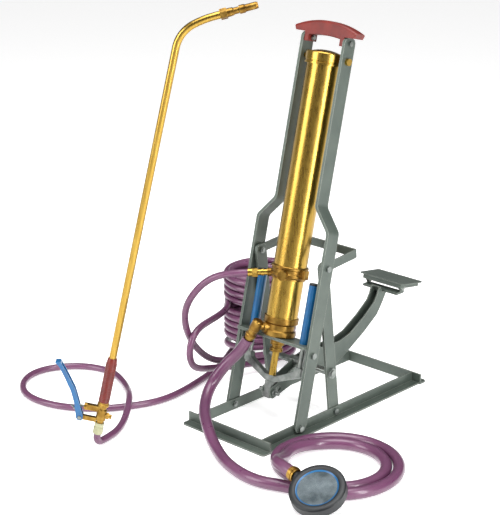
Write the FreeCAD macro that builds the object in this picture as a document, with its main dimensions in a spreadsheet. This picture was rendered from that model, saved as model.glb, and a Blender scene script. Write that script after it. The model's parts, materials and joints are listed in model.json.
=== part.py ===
"""Foot-operated piston sprayer on a steel stand, with its lance, delivery hose and suction hose.

Frame: millimetres, +Z up, -Y towards the front bar, pedal towards +Y, origin on the floor at the
middle of the front bar. The pump leans back by the mast angle, so the mast parts are drawn upright in
the mast frame (x across, y rearwards, z up the mast) and then leaned together.
"""
import FreeCAD, Part
import math
import os
import Sketcher

Vec = FreeCAD.Vector
Rot = FreeCAD.Rotation
Place = FreeCAD.Placement
X_AXIS, Y_AXIS, Z_AXIS = Vec(1, 0, 0), Vec(0, 1, 0), Vec(0, 0, 1)

doc = FreeCAD.newDocument("pedal_sprayer")

# ---------------------------------------------------------------- driving dimensions
DIMS = (
    # base of angle iron
    ("iron_leg", 25.0), ("iron_wall", 3.5), ("bar_length", 250.0), ("rail_half", 100.0),
    ("base_depth", 575.0), ("flange_round", 8.0),
    # mast of flat bar
    ("mast_lean", 13.4), ("mast_foot_y", 125.1), ("flat_width", 36.0), ("flat_thick", 7.0),
    ("mast_foot", 6.0), ("mast_top", 878.0), ("mast_narrow", 56.0), ("bend_low", 456.0),
    ("bend_high", 505.0), ("bend_shift", 2.68), ("bend_round", 18.0), ("end_round", 12.0),
    # rear struts, brace strap, bolts
    ("strut_width", 32.0), ("strut_thick", 6.0), ("strut_foot_y", 255.0), ("strut_foot_z", 14.4),
    ("strap_high", 20.0), ("strap_thick", 3.5), ("strap_reach", 108.0), ("strap_rise", 5.0),
    ("bolt_radius", 4.0), ("bolt_hole", 4.1), ("head_radius", 7.5), ("head_thick", 5.0),
    # pump
    ("plate_low", 195.0), ("plate_thick", 6.0), ("plate_depth", 60.0), ("tab_drop", 26.0),
    ("tab_depth", 28.0), ("tab_thick", 4.0), ("plate_top", 201.0), ("plate_bore", 16.05),
    ("guide_gap", 0.35), ("grip_half", 89.0), ("grip_crown", 908.0), ("grip_deep", 30.0),
    ("vessel_radius", 37.75), ("vessel_wall", 1.8), ("vessel_low", 351.0), ("vessel_top", 826.0),
    ("cap_radius", 43.0), ("cap_top", 840.0), ("cap_low", 813.0), ("collar_radius", 42.0),
    ("collar_low", 333.0), ("collar_top", 363.0), ("barrel_radius", 35.8), ("barrel_wall", 3.6),
    ("barrel_low", 238.0), ("barrel_top", 341.0), ("casting_radius", 36.5), ("fit_gap", 0.05),
    ("run_gap", 0.08), ("rod_x", 76.0), ("rod_radius", 6.0), ("tube_radius", 10.5),
    ("tube_wall", 1.5), ("tube_top", 338.0), ("plunger_radius", 8.0), ("gland_radius", 15.0),
    ("gland_low", 165.0), ("gland_top", 186.0),
    # yoke, clevis and lever
    ("yoke_thick", 14.0), ("yoke_top", 110.0), ("pin_w", 72.0), ("pin_radius", 4.5), ("pin_half", 28.0),
    ("pivot_y", 241.7), ("pivot_z", 111.0), ("shaft_radius", 8.0), ("hub_radius", 12.5),
    ("lever_travel", 24.0), ("lever_ratio", 105.0), ("arm_half", 13.0),
    ("slot_half", 5.8), ("slot_sag", 0.9), ("tongue_half", 9.6),
    ("channel_half", 10.0),
    # pedal
    ("pedal_length", 137.0), ("pedal_width", 76.0), ("pedal_tilt", 8.6), ("pedal_drop", 13.0),
    ("pedal_sheet", 2.5), ("pedal_y", 573.0), ("pedal_z", 234.5), ("bracket_half", 52.0),
    ("pedal_pin_y", 551.0), ("pedal_pin_z", 224.0), ("pedal_pin_radius", 4.0),
    # lance
    ("lance_x", -171.8), ("lance_y", -223.0), ("lance_z", 34.0), ("lance_turn", 43.4),
    ("lance_tilt", 12.2), ("lance_radius", 8.0), ("lance_start", 66.0), ("bend_start", 866.0),
    ("bend_radius", 70.0), ("bend_turn", 50.0), ("sweep_radius", 200.0), ("sweep_turn", 13.0),
    ("neck_length", 12.0), ("grip_radius", 12.0), ("grip_low", 76.0), ("grip_top", 180.0),
    ("trigger_x", -45.0), ("trigger_z", 31.7), ("trigger_half", 9.0), ("trigger_wall", 3.0),
    # hoses
    ("delivery_radius", 8.0), ("suction_radius", 13.0), ("stack_x", -276.0), ("stack_y", 406.0),
    ("stack_outer", 91.0), ("stack_inner", 58.0), ("stack_high", 240.0), ("ring_x", 279.0),
    ("ring_y", 46.0), ("ring_outer", 146.0), ("ring_inner", 92.0), ("ring_high", 30.0),
    ("strainer_radius", 59.0), ("strainer_deep", 24.0),
)

sheet = doc.addObject("Spreadsheet::Sheet", "Dims")
for line, (alias, value) in enumerate(DIMS, 1):
    sheet.set(f"A{line}", alias)
    sheet.set(f"B{line}", str(value))
    sheet.setAlias(f"B{line}", alias)
doc.recompute()
D = dict(DIMS)

MAST = Place(Vec(0, D["mast_foot_y"], 0), Rot(X_AXIS, -D["mast_lean"]))
NODES = []


def value(expression):
    """The number that an expression of sheet cells gives."""
    return float(sheet.evalExpression(expression))


def node(label, obj, place=None):
    """Gives a finished sub-part its label, and its placement if one is stated."""
    obj.Label = label
    if place is not None:
        obj.Placement = place
    NODES.append(obj)
    return obj


def point(local_frame, x, y, z):
    """A point of a local frame, in the part's own frame."""
    return local_frame.multVec(Vec(x, y, z))


# ---------------------------------------------------------------- building blocks
def sketch(body, name, role, outline):
    """A closed outline whose corners are bound to the sheet, on one of the body's origin planes."""
    plane = [f for f in body.Origin.OriginFeatures if f.Role == role][0]
    drawing = body.newObject("Sketcher::SketchObject", name)
    drawing.AttachmentSupport = [(plane, "")]
    drawing.MapMode = "FlatFace"
    corners = [Vec(value(x), value(y), 0) for x, y in outline]
    count = len(corners)
    for i in range(count):
        drawing.addGeometry(Part.LineSegment(corners[i], corners[(i + 1) % count]), False)
    for i in range(count):
        drawing.addConstraint(Sketcher.Constraint("Coincident", i, 2, (i + 1) % count, 1))
    for i, (x, y) in enumerate(outline):
        for kind, expression in (("DistanceX", x), ("DistanceY", y)):
            number = drawing.addConstraint(
                Sketcher.Constraint(kind, -1, 1, i, 1, value(expression)))
            drawing.setExpression(f"Constraints[{number}]", expression)
    return drawing


def pad(name, role, outline, length, reverse=False, middle=False):
    """A body padded from a bound outline."""
    body = doc.addObject("PartDesign::Body", name)
    feature = body.newObject("PartDesign::Pad", name + "_pad")
    feature.Profile = sketch(body, name + "_sketch", role, outline)
    feature.setExpression("Length", length)
    feature.Reversed = reverse
    feature.Midplane = middle
    return body


def turned(name, outline):
    """A body turned about its own Z axis from a bound outline of radius and height."""
    body = doc.addObject("PartDesign::Body", name)
    drawing = sketch(body, name + "_sketch", "XZ_Plane", outline)
    feature = body.newObject("PartDesign::Revolution", name + "_turn")
    feature.Profile = drawing
    feature.ReferenceAxis = (drawing, ["V_Axis"])
    feature.Angle = 360
    return body


def rounded(body, radius, chosen):
    """Fillets the edges of a body whose middle the chooser accepts."""
    doc.recompute()
    tip = body.Tip
    names = [f"Edge{i}" for i, e in enumerate(tip.Shape.Edges, 1) if chosen(e)]
    feature = body.newObject("PartDesign::Fillet", body.Name + "_fillet")
    feature.Base = (tip, names)
    feature.setExpression("Radius", radius)
    return body


def middle_of(edge):
    return edge.valueAt((edge.FirstParameter + edge.LastParameter) / 2)


def along(edge, axis):
    """True for a straight edge that runs along an axis."""
    if edge.Curve.TypeId != "Part::GeomLine":
        return False
    return abs(edge.Curve.Direction.dot(axis)) > 0.999


def cylinder(name, radius, height, place):
    shape = doc.addObject("Part::Cylinder", name)
    shape.setExpression("Radius", radius)
    shape.setExpression("Height", height)
    shape.Placement = place
    return shape


def block(name, sizes, place):
    """A box centred on its placement."""
    shape = doc.addObject("Part::Box", name)
    for side, expression in zip(("Length", "Width", "Height"), sizes):
        shape.setExpression(side, expression)
    half = Vec(*[-value(expression) / 2 for expression in sizes])
    shape.Placement = place.multiply(Place(half, Rot()))
    return shape


def hexagon(name, radius, height, place):
    shape = doc.addObject("Part::Prism", name)
    shape.Polygon = 6
    shape.setExpression("Circumradius", radius)
    shape.setExpression("Height", height)
    shape.Placement = place
    return shape


def fused(name, shapes):
    joined = doc.addObject("Part::MultiFuse", name)
    joined.Shapes = shapes
    return joined


def cut(name, base, tools):
    """The base less every tool."""
    tool = tools[0] if len(tools) == 1 else fused(name + "_tools", tools)
    result = doc.addObject("Part::Cut", name)
    result.Base = base
    result.Tool = tool
    return result


def gathered(name, shapes):
    """Separate solids of one kind, kept together as one sub-part."""
    group = doc.addObject("Part::Compound", name)
    group.Links = shapes
    return group


def shaped(name, shape, place=None):
    """A sub-part whose shape is worked out below from the sheet."""
    feature = doc.addObject("Part::Feature", name)
    feature.Shape = shape
    if place is not None:
        feature.Placement = place
    return feature


def facing(origin, direction):
    """A placement whose Z axis points along a direction."""
    return Place(origin, Rot(Z_AXIS, direction))


def hole(name, origin, direction, length, radius="Dims.bolt_hole"):
    """A drill that runs through a point, half its length each way."""
    start = origin - Vec(direction).normalize() * (length / 2)
    return cylinder(name, radius, str(length), facing(start, direction))


def bolt(name, head, direction, grip, head_radius="Dims.head_radius"):
    """A hexagon bolt: head behind its seat, shank through the grip, nut on the far side."""
    unit = Vec(direction).normalize()
    thick = D["head_thick"]
    shank = cylinder(name + "_shank", "Dims.bolt_radius", str(grip + 2 * thick + 2),
                     facing(head - unit * thick, direction))
    cap = hexagon(name + "_head", head_radius, "Dims.head_thick", facing(head - unit * thick, direction))
    nut = hexagon(name + "_nut", head_radius, "Dims.head_thick", facing(head + unit * grip, direction))
    return fused(name, [shank, cap, nut])


# ---------------------------------------------------------------- places up the mast
FOOT_BOLT_UP = 15.0
PLATE_BOLT_UP = 182.0
STAY_UP = 827.0
HANDLE_BOLT_UP = 866.0
GRIP_LEG_IN = 45.0
STRUT_BOLT_UP = 378.0
STRUT_TOP = point(MAST, 0, 0, STRUT_BOLT_UP)
STRUT_FOOT = Vec(0, D["strut_foot_y"], D["strut_foot_z"])
PIVOT = Vec(0, D["pivot_y"], D["pivot_z"])
SIDES = (("left", -1), ("right", 1))


def at_side(side, x, middle):
    """A point of the middle plane moved out to one side."""
    return Vec(side * x, middle.y, middle.z)


# ---------------------------------------------------------------- base
def base_bar(label, flip):
    """Front or rear bar: the upright leg faces the inside of the base."""
    profile = [("0", "0"), ("Dims.iron_leg", "0"), ("Dims.iron_leg", "Dims.iron_leg"),
               ("Dims.iron_leg - Dims.iron_wall", "Dims.iron_leg"),
               ("Dims.iron_leg - Dims.iron_wall", "Dims.iron_wall"), ("0", "Dims.iron_wall")]
    body = pad(label + "_body", "YZ_Plane", profile, "Dims.bar_length", middle=True)
    rounded(body, "Dims.flange_round",
            lambda e: along(e, Z_AXIS) and middle_of(e).y < 1 and e.Length < D["iron_wall"] + 1)
    y = -D["iron_leg"] / 2
    if flip:
        return node(label, body, Place(Vec(0, y + D["base_depth"], 0), Rot(Z_AXIS, 180)))
    return node(label, body, Place(Vec(0, y, 0), Rot()))


def base_rail(label, side):
    """Side rail between the bars, its upright leg inward, drilled for the mast and the strut."""
    wall, leg = "Dims.iron_wall", "Dims.iron_leg"
    profile = [("0", "0"), (leg, "0"), (leg, wall), (wall, wall), (wall, leg), ("0", leg)]
    body = pad(label + "_body", "XZ_Plane", profile, "Dims.base_depth - 2 * Dims.iron_leg", reverse=True)
    inner = D["rail_half"] - D["iron_wall"]
    front = D["iron_leg"] / 2
    if side > 0:
        body.Placement = Place(Vec(inner, front, 0), Rot())
    else:
        length = D["base_depth"] - 2 * D["iron_leg"]
        body.Placement = Place(Vec(-inner, front + length, 0), Rot(Z_AXIS, 180))
    foot = at_side(side, D["rail_half"], point(MAST, 0, 0, FOOT_BOLT_UP))
    drills = [hole(label + "_foot", foot, X_AXIS, 40.0),
              hole(label + "_strut", at_side(side, D["rail_half"], STRUT_FOOT), X_AXIS, 40.0)]
    return node(label, cut(label, body, drills))


# ---------------------------------------------------------------- mast and struts
def upright(label, side):
    """Cranked flat bar: wide at the base, narrow beside the vessel."""
    sign = "" if side > 0 else "-"
    low, high = "Dims.rail_half", "Dims.mast_narrow"
    profile = [
        (f"{sign}({low})", "Dims.mast_foot"),
        (f"{sign}({low} + Dims.flat_thick)", "Dims.mast_foot"),
        (f"{sign}({low} + Dims.flat_thick)", "Dims.bend_low + Dims.bend_shift"),
        (f"{sign}({high} + Dims.flat_thick)", "Dims.bend_high + Dims.bend_shift"),
        (f"{sign}({high} + Dims.flat_thick)", "Dims.mast_top"),
        (f"{sign}({high})", "Dims.mast_top"),
        (f"{sign}({high})", "Dims.bend_high"),
        (f"{sign}({low})", "Dims.bend_low"),
    ]
    body = pad(label + "_body", "XZ_Plane", profile, "Dims.flat_width", middle=True)
    foot, top = D["mast_foot"], D["mast_top"]
    rounded(body, "Dims.bend_round", lambda e: along(e, Y_AXIS) and foot + 9 < middle_of(e).z < top - 9)
    rounded(body, "Dims.end_round", lambda e: along(e, X_AXIS) and (
        middle_of(e).z < foot + 1 or middle_of(e).z > top - 1))
    ups = {"foot": FOOT_BOLT_UP, "plate": PLATE_BOLT_UP, "strut": STRUT_BOLT_UP, "stay": STAY_UP,
           "grip": HANDLE_BOLT_UP}
    drills = [hole(f"{label}_{name}", Vec(side * 80, 0, up), X_AXIS, 80.0) for name, up in ups.items()]
    return node(label, cut(label, body, drills), MAST)


def strut(label, side):
    """Flat rear leg from the mast down to the rail, inside both, carrying the lever's shaft."""
    inner_rail = D["rail_half"] - D["iron_wall"]
    foot = at_side(side, inner_rail, STRUT_FOOT)
    top = at_side(side, inner_rail, STRUT_TOP)
    rise = top - foot
    half = "Dims.strut_width / 2"
    low, high = "-13.5", f"{rise.Length + 13.5:.3f}"
    profile = [(f"-{half}", low), (half, low), (half, high), (f"-{half}", high)]
    body = pad(label + "_body", "YZ_Plane", profile, "Dims.strut_thick")
    rounded(body, "Dims.end_round", lambda e: along(e, X_AXIS))
    lean = math.degrees(math.atan2(-rise.y, rise.z))
    start = foot - X_AXIS * (D["strut_thick"] if side > 0 else 0)
    body.Placement = Place(start, Rot(X_AXIS, lean))
    drills = [hole(label + "_foot", foot, X_AXIS, 60.0), hole(label + "_top", top, X_AXIS, 60.0),
              hole(label + "_shaft", at_side(side, inner_rail, PIVOT), X_AXIS, 60.0,
                   "Dims.shaft_radius + Dims.fit_gap")]
    return node(label, cut(label, body, drills))


def brace_strap():
    """Bent strap from upright to upright, round the back of the mast."""
    outer, inner = "Dims.rail_half", "Dims.rail_half - Dims.strap_thick"
    front, back = "-14", "Dims.strap_reach"
    profile = [(f"-({outer})", front), (f"-({inner})", front), (f"-({inner})", f"{back} - Dims.strap_thick"),
               (inner, f"{back} - Dims.strap_thick"), (inner, front), (outer, front), (outer, back),
               (f"-({outer})", back)]
    body = pad("brace_strap_body", "XY_Plane", profile, "Dims.strap_high", middle=True)
    rounded(body, "Dims.strap_thick * 0.9", lambda e: along(e, Z_AXIS) and middle_of(e).y > 90)
    rounded(body, "Dims.strap_high * 0.4", lambda e: along(e, X_AXIS) and middle_of(e).y < 0)
    body.Placement = Place(STRUT_TOP, Rot(X_AXIS, D["strap_rise"]))
    return node("brace_strap", cut("brace_strap", body, [hole("strap_drill", STRUT_TOP, X_AXIS, 260.0)]))


def cross_plate():
    """Plate between the uprights that carries the pump, with a bolted tab at each end."""
    wide = "2 * (Dims.rail_half - Dims.fit_gap)"
    low, thick = D["plate_low"], D["plate_thick"]
    tab_x = D["rail_half"] - D["fit_gap"] - D["tab_thick"] / 2
    pieces = [block("plate_flat", (wide, "Dims.plate_depth", "Dims.plate_thick"),
                    Place(Vec(0, 0, low + thick / 2), Rot()))]
    for name, side in SIDES:
        pieces.append(block("plate_tab_" + name, ("Dims.tab_thick", "Dims.tab_depth", "Dims.tab_drop"),
                            Place(Vec(side * tab_x, 0, low + 1 - D["tab_drop"] / 2), Rot())))
    drills = [cylinder("plate_bore", "Dims.plate_bore", "40", Place(Vec(0, 0, low - 10), Rot())),
              hole("plate_bolts", Vec(0, 0, PLATE_BOLT_UP), X_AXIS, 260.0)]
    for name, side in SIDES:
        drills.append(cylinder("plate_rod_" + name, "Dims.rod_radius + Dims.guide_gap", "40",
                               Place(Vec(side * D["rod_x"], 0, low - 10), Rot())))
    return node("cross_plate", cut("cross_plate", fused("plate_whole", pieces), drills), MAST)


def frame_bolts():
    """The stand's hexagon bolts: mast feet, strut feet, strut tops, cross plate and handle."""
    bolts = []
    rail, wall, flat = D["rail_half"], D["iron_wall"], D["flat_thick"]
    for name, side in SIDES:
        inward = Vec(-side, 0, 0)
        foot = at_side(side, rail + flat, point(MAST, 0, 0, FOOT_BOLT_UP))
        bolts.append(bolt("foot_bolt_" + name, foot, inward, flat + wall))
        bolts.append(bolt("strut_bolt_" + name, at_side(side, rail, STRUT_FOOT), inward,
                          wall + D["strut_thick"]))
        bolts.append(bolt("brace_bolt_" + name, at_side(side, rail + flat, STRUT_TOP), inward,
                          flat + D["strap_thick"] + D["strut_thick"]))
        plate = point(MAST, side * (rail + flat), 0, PLATE_BOLT_UP)
        bolts.append(bolt("plate_bolt_" + name, plate, inward, flat + D["fit_gap"] + D["tab_thick"]))
        out = D["mast_narrow"] + flat
        bolts.append(bolt("grip_bolt_" + name, point(MAST, side * out, 0, HANDLE_BOLT_UP), inward,
                          out - GRIP_LEG_IN, "5.9"))
    return node("frame_bolts", gathered("frame_bolts", bolts))


# ---------------------------------------------------------------- handle at the top
def handle_grip():
    """Moulded grip over the tops of the uprights: an arch with two legs and a finger gap."""
    tip_x, tip_up, crown = D["grip_half"], D["mast_top"] + 12, D["grip_crown"]
    over, leg_out, leg_in = D["mast_top"] + 0.3, D["mast_narrow"] - 0.1, GRIP_LEG_IN
    leg_low, gap_side, gap_top = D["mast_top"] - 20, D["mast_top"] - 5.8, D["mast_top"] - 2.5

    def spot(x, up):
        return Vec(x, 0, up)

    edges = [
        Part.Arc(spot(-tip_x, tip_up), spot(0, crown), spot(tip_x, tip_up)).toShape(),
        Part.LineSegment(spot(tip_x, tip_up), spot(tip_x - 6, over)).toShape(),
        Part.LineSegment(spot(tip_x - 6, over), spot(leg_out, over)).toShape(),
        Part.LineSegment(spot(leg_out, over), spot(leg_out, leg_low)).toShape(),
        Part.LineSegment(spot(leg_out, leg_low), spot(leg_in, leg_low)).toShape(),
        Part.LineSegment(spot(leg_in, leg_low), spot(leg_in, gap_side)).toShape(),
        Part.Arc(spot(leg_in, gap_side), spot(0, gap_top), spot(-leg_in, gap_side)).toShape(),
        Part.LineSegment(spot(-leg_in, gap_side), spot(-leg_in, leg_low)).toShape(),
        Part.LineSegment(spot(-leg_in, leg_low), spot(-leg_out, leg_low)).toShape(),
        Part.LineSegment(spot(-leg_out, leg_low), spot(-leg_out, over)).toShape(),
        Part.LineSegment(spot(-leg_out, over), spot(6 - tip_x, over)).toShape(),
        Part.LineSegment(spot(6 - tip_x, over), spot(-tip_x, tip_up)).toShape(),
    ]
    deep = D["grip_deep"]
    solid = Part.Face(Part.Wire(edges)).extrude(Vec(0, deep, 0))
    solid.translate(Vec(0, -deep / 2, 0))
    arcs = [e for e in solid.Edges if e.Curve.TypeId == "Part::GeomCircle"
            and abs(abs(e.CenterOfMass.y) - deep / 2) < 0.01]
    solid = solid.makeFillet(6.0, [e for e in arcs if middle_of(e).z > D["mast_top"]])
    arcs = [e for e in solid.Edges if e.Curve.TypeId == "Part::GeomCircle"
            and middle_of(e).z < D["mast_top"] and abs(abs(middle_of(e).y) - deep / 2) < 0.01]
    solid = solid.makeFillet(3.0, arcs)
    for side in (-1, 1):
        drill = Part.makeCylinder(D["bolt_hole"], 30, Vec(side * 28, 0, HANDLE_BOLT_UP), Vec(side, 0, 0))
        solid = solid.cut(drill)
    return node("handle_grip", shaped("handle_grip", solid), MAST)


def stay_bolts():
    """Brass screws that hold the vessel's cap between the uprights: a knob at the right."""
    out = D["mast_narrow"] + D["flat_thick"]
    reach = out - D["cap_radius"] - 0.3
    screws = []
    for (name, side), (radius, thick) in zip(SIDES, ((5.0, 3.0), (8.0, 7.0))):
        inward = Vec(-side, 0, 0)
        seat = Vec(side * out, 0, STAY_UP)
        shank = cylinder(f"stay_shank_{name}", "Dims.bolt_radius", str(reach + thick),
                         facing(seat - inward * thick, inward))
        head = cylinder(f"stay_head_{name}", str(radius), str(thick), facing(seat - inward * thick, inward))
        nut = hexagon(f"stay_nut_{name}", "6.8", "4", facing(seat + inward * D["flat_thick"], inward))
        screws.append(fused(f"stay_screw_{name}", [shank, head, nut]))
    return node("stay_screws", gathered("stay_screws", screws), MAST)


# ---------------------------------------------------------------- vessel and pump
def vessel():
    outer = "Dims.vessel_radius"
    inner = "Dims.vessel_radius - Dims.vessel_wall"
    low, top = "Dims.vessel_low", "Dims.vessel_top"
    node("vessel_shell", turned("vessel_shell_body", [(inner, low), (outer, low), (outer, top),
                                                      (inner, top)]), MAST)
    seat = "Dims.vessel_radius + Dims.fit_gap"
    rim, crest, base = "Dims.cap_radius", "Dims.cap_top", "Dims.cap_low"
    node("vessel_cap", turned("vessel_cap_body", [
        ("0", f"{crest} + 5"), ("10", f"{crest} + 4.6"), ("19", f"{crest} + 3.3"), ("27", f"{crest} + 1.3"),
        ("32", f"{crest} - 0.6"), ("34", crest), (f"{rim} - 2.5", crest), (rim, f"{crest} - 2.5"),
        (rim, f"{base} + 8"), (f"{rim} - 1.2", f"{base} + 7"), (f"{rim} - 1.2", f"{base} + 5"),
        (rim, f"{base} + 4"), (rim, base), (seat, base), (seat, f"{top} + Dims.fit_gap"),
        ("0", f"{top} + Dims.fit_gap")]), MAST)


DELIVERY_OUT = Vec(-0.80, -0.55, -0.20)
DELIVERY_ROOT = Vec(-31, -21, 341)
SUCTION_CORNER = Vec(-23.5, -41.8, 219)
SUCTION_END = Vec(-47, -46, 184)


def collar():
    """Casting between the vessel and the barrel, with the outlet boss, a web and a lug."""
    low, top, rim = "Dims.collar_low", "Dims.collar_top", "Dims.collar_radius"
    seat, nest = "Dims.vessel_radius + Dims.fit_gap", "Dims.barrel_radius + Dims.fit_gap"
    body = turned("vessel_collar_body", [
        (nest, low), (f"{rim} - 3", low), (f"{rim} - 3", f"{low} + 4"), (rim, f"{low} + 7"),
        (rim, f"{low} + 13"), (f"{rim} - 2", f"{low} + 15"), (f"{rim} - 2", f"{top} - 8"),
        (rim, f"{top} - 6"), (rim, f"{top} - 1.5"), (f"{rim} - 1.5", top), (seat, top),
        (seat, "Dims.vessel_low - Dims.fit_gap"), ("28", "Dims.vessel_low - Dims.fit_gap"),
        ("28", "Dims.barrel_top + Dims.fit_gap"), (nest, "Dims.barrel_top + Dims.fit_gap")])
    boss = cylinder("collar_boss", "9.5", "10.4", facing(DELIVERY_ROOT, DELIVERY_OUT))
    lug = block("collar_lug", ("12", "14", "20"), Place(Vec(D["collar_radius"] + 3, 0, 350), Rot()))
    web = cylinder("collar_web", "11", "11", facing(Vec(14.6, -35.4, 343), Vec(0.38, -0.92, 0)))
    hollow = cylinder("collar_hollow", "Dims.barrel_radius + Dims.fit_gap", "20",
                      Place(Vec(0, 0, D["barrel_top"] + D["fit_gap"] - 20), Rot()))
    whole = cut("vessel_collar", fused("collar_whole", [body, boss, lug, web]), [hollow])
    node("vessel_collar", whole, MAST)


def delivery_mouth(distance=54.7):
    """A point along the outlet, by default where the hose leaves its ferrule."""
    return DELIVERY_ROOT + Vec(DELIVERY_OUT).normalize() * distance


def delivery_outlet():
    """Nipple on the collar and the hexagon ferrule that clamps the delivery hose."""
    unit = Vec(DELIVERY_OUT).normalize()
    root = delivery_mouth(10.5)
    barb = cylinder("nipple_body", "7.2", "22", facing(root, unit))
    ring = cylinder("nipple_ring", "8.6", "4", facing(root + unit * 9, unit))
    node("delivery_nipple", fused("delivery_nipple", [barb, ring]), MAST)
    ferrule = hexagon("ferrule_hex", "11", "12", facing(root + unit * 22.1, unit))
    sleeve = cylinder("ferrule_sleeve", "9.4", "22", facing(root + unit * 22.1, unit))
    node("delivery_ferrule", fused("delivery_ferrule", [ferrule, sleeve]), MAST)


def barrel():
    outer, inner = "Dims.barrel_radius", "Dims.barrel_radius - Dims.barrel_wall"
    low, top = "Dims.barrel_low", "Dims.barrel_top"
    node("pump_barrel", turned("pump_barrel_body", [(inner, low), (outer, low), (outer, top),
                                                    (inner, top)]), MAST)


def base_casting():
    """Bell-shaped foot of the barrel, spigot through the plate, boss for the suction elbow."""
    nest, rim, seat = "Dims.barrel_radius + Dims.fit_gap", "Dims.casting_radius", "Dims.plate_top"
    bore, spigot = "Dims.plunger_radius + Dims.guide_gap", "Dims.plate_bore - Dims.fit_gap"
    body = turned("base_casting_body", [
        (bore, "Dims.gland_top"), (spigot, "Dims.gland_top"), (spigot, seat), (f"{rim} - 3", seat),
        (rim, f"{seat} + 3"), (rim, f"{seat} + 13"), (f"{rim} - 4", f"{seat} + 17"),
        (f"{rim} - 4", f"{seat} + 27"), (f"{rim} + 2.5", f"{seat} + 32"), (f"{rim} + 2.5", "246"),
        (nest, "246"), (nest, "Dims.barrel_low - Dims.fit_gap"), ("27", "Dims.barrel_low - Dims.fit_gap"),
        ("27", f"{seat} + 12"), (bore, f"{seat} + 12")])
    direction = Vec(SUCTION_CORNER.x, SUCTION_CORNER.y, 0).normalize()
    boss = cylinder("casting_boss", "13", "12", facing(direction * 28 + Vec(0, 0, SUCTION_CORNER.z), direction))
    node("base_casting", fused("base_casting", [body, boss]), MAST)


def suction_elbow():
    """Suction valve: a short branch from the casting into a slanted chest with a spigot for the hose."""
    outward = Vec(SUCTION_CORNER.x, SUCTION_CORNER.y, 0).normalize()
    branch = cylinder("elbow_branch", "9", "17", facing(outward * 40.05 + Vec(0, 0, SUCTION_CORNER.z), outward))
    middle = SUCTION_CORNER + outward * 9
    run = SUCTION_END - middle
    far = str(run.Length)
    chest = turned("elbow_chest", [
        ("0", "-15"), ("8", "-15"), ("10", "-13"), ("12.5", "-12"), ("12.5", "10"), ("11", "12"),
        ("11", "24"), ("13", "25"), ("13", "31"), ("10.5", "32"), ("10.5", far), ("0", far)])
    chest.Placement = facing(middle, run)
    node("suction_elbow", fused("suction_elbow", [branch, chest]), MAST)


def gland():
    """Gland nut under the plate, with tommy holes, round the plunger."""
    bore, rim = "Dims.plunger_radius + Dims.run_gap", "Dims.gland_radius"
    low, top = "Dims.gland_low", "Dims.gland_top"
    body = turned("gland_nut_body", [
        (bore, low), (f"{rim} - 1", low), (rim, f"{low} + 1"), (rim, f"{low} + 8"),
        (f"{rim} - 3", f"{low} + 9"), (f"{rim} - 3", f"{top} - 6"), (f"{rim} + 1", f"{top} - 5"),
        (f"{rim} + 1", f"{top} - Dims.fit_gap"), (bore, f"{top} - Dims.fit_gap")])
    tommies = []
    for turn in (0, 90, 180, 270):
        outward = Rot(Z_AXIS, turn).multVec(X_AXIS)
        rim_point = outward * D["gland_radius"] + Vec(0, 0, D["gland_low"] + 4.5)
        tommies.append(cylinder(f"tommy_{turn}", "2", "4.5", facing(rim_point, -outward)))
    node("gland_nut", cut("gland_nut", body, tommies), MAST)


def spring_tubes():
    """Blue guide tubes over the push rods, each with a black stopper and a spring inside."""
    outer, inner = "Dims.tube_radius", "Dims.tube_radius - Dims.tube_wall"
    low, top = "Dims.plate_top + Dims.fit_gap", "Dims.tube_top"
    tubes, stoppers, springs = [], [], []
    for name, side in SIDES:
        place = Place(Vec(side * D["rod_x"], 0, 0), Rot())
        tubes.append(turned(f"spring_tube_{name}", [
            (inner, low), (outer, low), (outer, f"{top} - 4"), (inner, f"{top} - 4")]))
        stoppers.append(turned(f"tube_stopper_{name}", [
            ("0", f"{top} - 9"), (f"{inner} - Dims.fit_gap", f"{top} - 9"),
            (f"{inner} - Dims.fit_gap", f"{top} - 4 + Dims.fit_gap"), (outer, f"{top} - 4 + Dims.fit_gap"),
            (outer, f"{top} - 1"), (f"{outer} - 1", top), ("0", top)]))
        springs.append(turned(f"return_spring_{name}", [
            ("5", f"{top} - 54"), (f"{inner} - 0.4", f"{top} - 54"), (f"{inner} - 0.4", f"{top} - 9.2"),
            ("5", f"{top} - 9.2")]))
        for piece in (tubes[-1], stoppers[-1], springs[-1]):
            piece.Placement = place
    node("spring_tubes", gathered("spring_tubes", tubes), MAST)
    node("tube_stoppers", gathered("tube_stoppers", stoppers), MAST)
    node("return_springs", gathered("return_springs", springs), MAST)


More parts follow.
